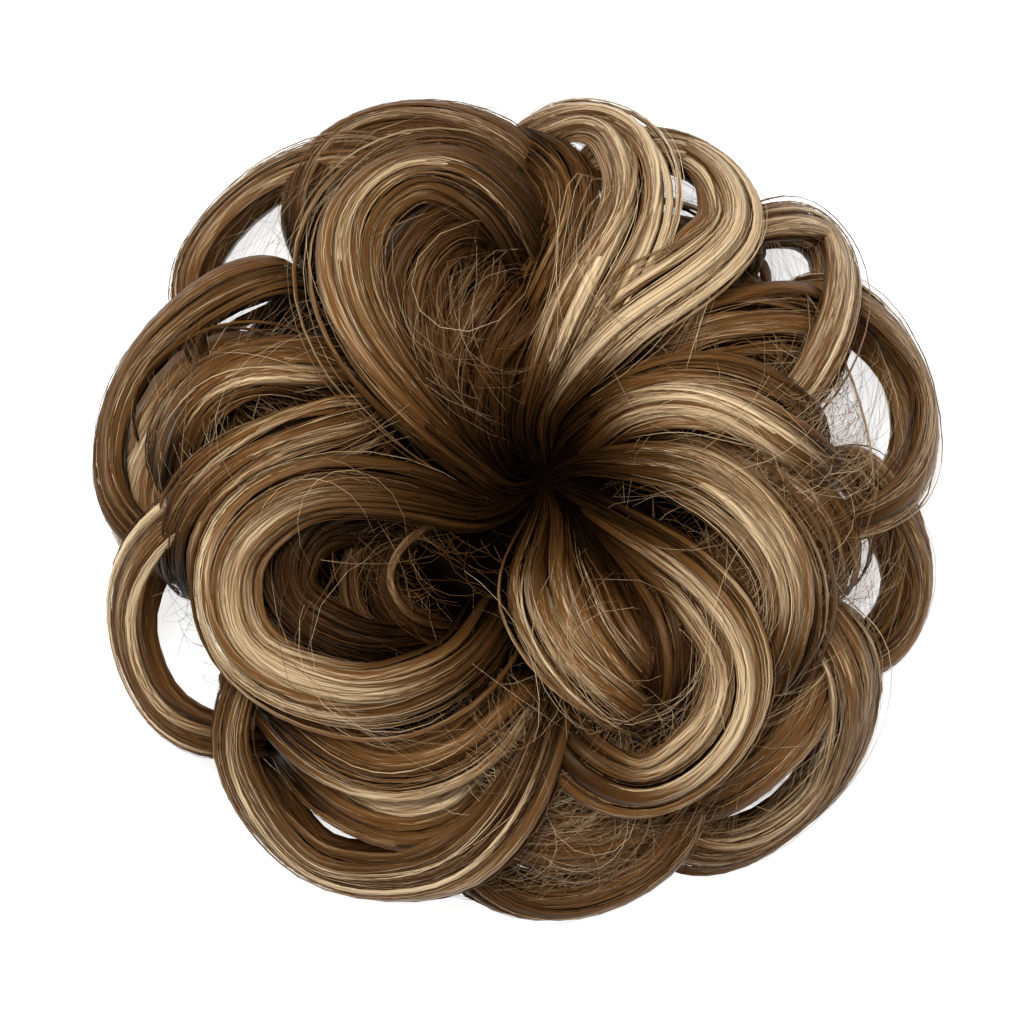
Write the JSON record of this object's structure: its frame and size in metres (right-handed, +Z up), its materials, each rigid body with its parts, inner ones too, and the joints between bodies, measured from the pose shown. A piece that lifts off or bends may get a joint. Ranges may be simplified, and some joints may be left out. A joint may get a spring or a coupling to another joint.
{
  "type": "top knot hairpiece",
  "caption": "Round messy-bun hairpiece: looped and curled locks of hair swirl out from a sunken eye, sewn on rings above an elastic band.",
  "frame": {"origin": "centre of the base, on the surface that the elastic band rests on", "axes": "+Z up through the swirl's eye towards the crown, +Y towards the back edge, +X towards the right edge as seen from above"},
  "size_m": [0.1484, 0.1436, 0.0604],
  "materials": {
    "crown_hair": "golden brown hair fibre with blonde streaks, soft sheen",
    "middle_hair": "mid brown hair fibre, soft sheen",
    "rim_hair": "golden brown hair fibre, soft sheen",
    "under_hair": "dark brown hair fibre",
    "elastic": "matte dark brown gathered cloth over elastic"
  },
  "bodies": {
    "root": {"crown_locks": "crown_hair", "middle_locks": "middle_hair", "rim_locks": "rim_hair", "under_locks": "under_hair", "elastic_band": "elastic"}
  },
  "joints": []
}
